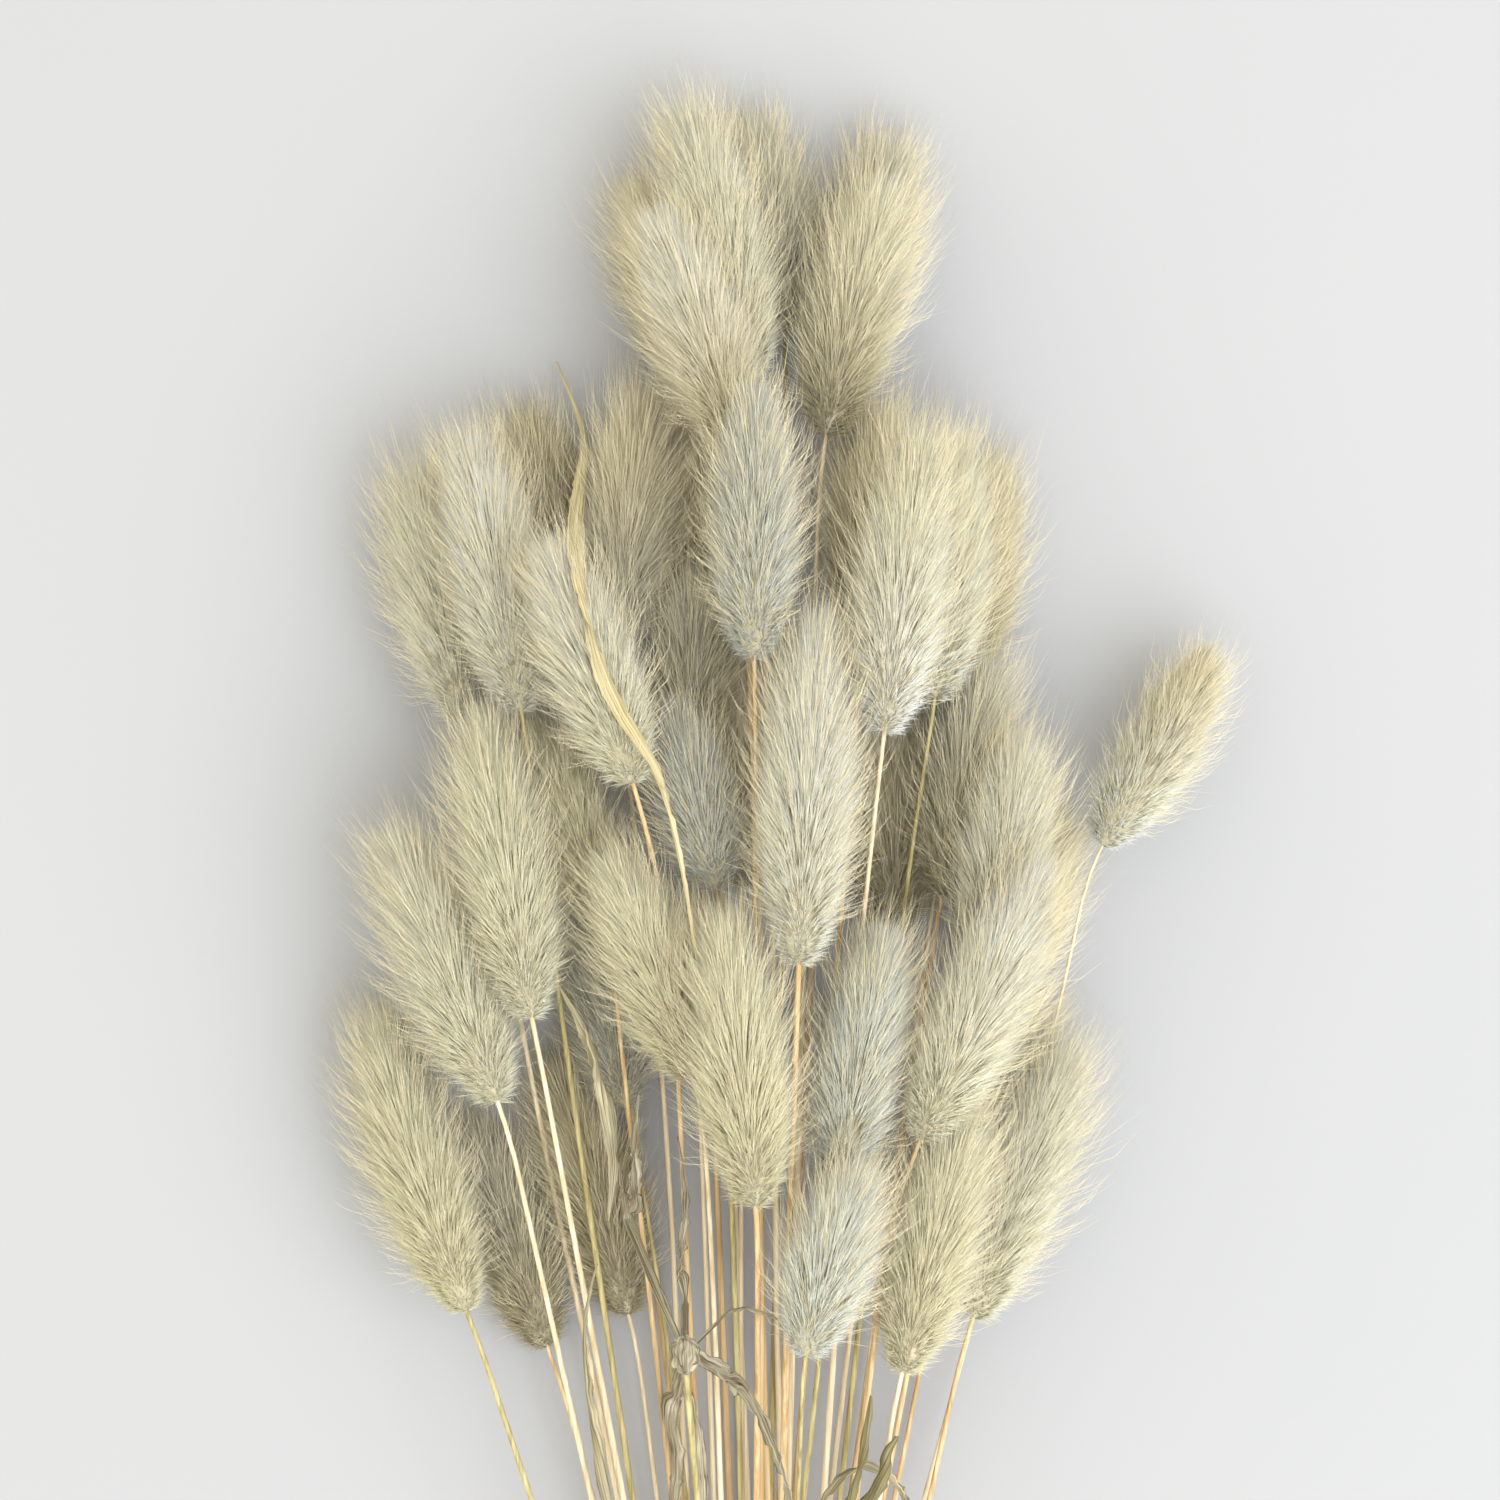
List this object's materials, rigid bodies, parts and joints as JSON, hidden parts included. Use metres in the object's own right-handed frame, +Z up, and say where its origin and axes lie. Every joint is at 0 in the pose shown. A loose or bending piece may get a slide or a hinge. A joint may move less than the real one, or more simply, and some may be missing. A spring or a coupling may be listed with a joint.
{
  "type": "dried grass bunch",
  "caption": "Bunch of dried bunny tail grass lying flat, with soft oval seed heads fanned out on thin straw culms and a twine tie round them.",
  "frame": {"origin": "on the table, under the middle of the bunch's box", "axes": "+Y along the culms, from the cut ends to the seed heads; +Z up from the table; +X to the right as it is seen from above with the seed heads away from the viewer"},
  "size_m": [0.1458, 0.4488, 0.0483],
  "materials": {
    "seed_head_cream": "matt",
    "seed_head_sage": "matt",
    "seed_head_blue_grey": "matt",
    "seed_head_tan": "matt",
    "dry_straw": "matt",
    "leaf_gold": "matt",
    "leaf_grey_green": "matt",
    "leaf_olive": "matt",
    "twine": "matt"
  },
  "bodies": {
    "root": {"stalk_01": "seed_head_cream", "stalk_02": "seed_head_cream", "stalk_03": "seed_head_tan", "stalk_04": "seed_head_sage", "stalk_05": "seed_head_tan", "stalk_06": "seed_head_cream", "stalk_07": "seed_head_blue_grey", "stalk_08": "seed_head_sage", "stalk_09": "seed_head_sage", "stalk_10": "seed_head_tan", "stalk_11": "seed_head_sage", "stalk_12": "seed_head_blue_grey", "stalk_13": "seed_head_tan", "stalk_14": "seed_head_blue_grey", "stalk_15": "seed_head_tan", "stalk_16": "seed_head_cream", "stalk_17": "seed_head_tan", "stalk_18": "seed_head_cream", "stalk_19": "seed_head_cream", "stalk_20": "seed_head_sage", "stalk_21": "seed_head_cream", "stalk_22": "seed_head_cream", "stalk_23": "seed_head_tan", "stalk_24": "seed_head_blue_grey", "stalk_25": "seed_head_cream", "stalk_26": "seed_head_cream", "stalk_27": "seed_head_tan", "stalk_28": "seed_head_tan", "stalk_29": "seed_head_cream", "stalk_30": "seed_head_sage", "stalk_31": "seed_head_tan", "stalk_32": "seed_head_sage", "stalk_33": "seed_head_sage", "stalk_34": "seed_head_blue_grey", "stalk_35": "seed_head_sage", "stalk_36": "seed_head_tan", "stalk_37": "seed_head_sage", "stalk_38": "seed_head_cream", "stalk_39": "seed_head_blue_grey", "stalk_40": "seed_head_sage", "stalk_41": "seed_head_tan", "leafy_shoot": "dry_straw", "leaf_long": "leaf_gold", "leaf_short": "leaf_grey_green", "leaf_strip": "leaf_grey_green", "leaf_curl": "leaf_grey_green", "leaf_scrap_1": "leaf_olive", "leaf_scrap_2": "leaf_olive", "tie": "twine"}
  },
  "joints": []
}
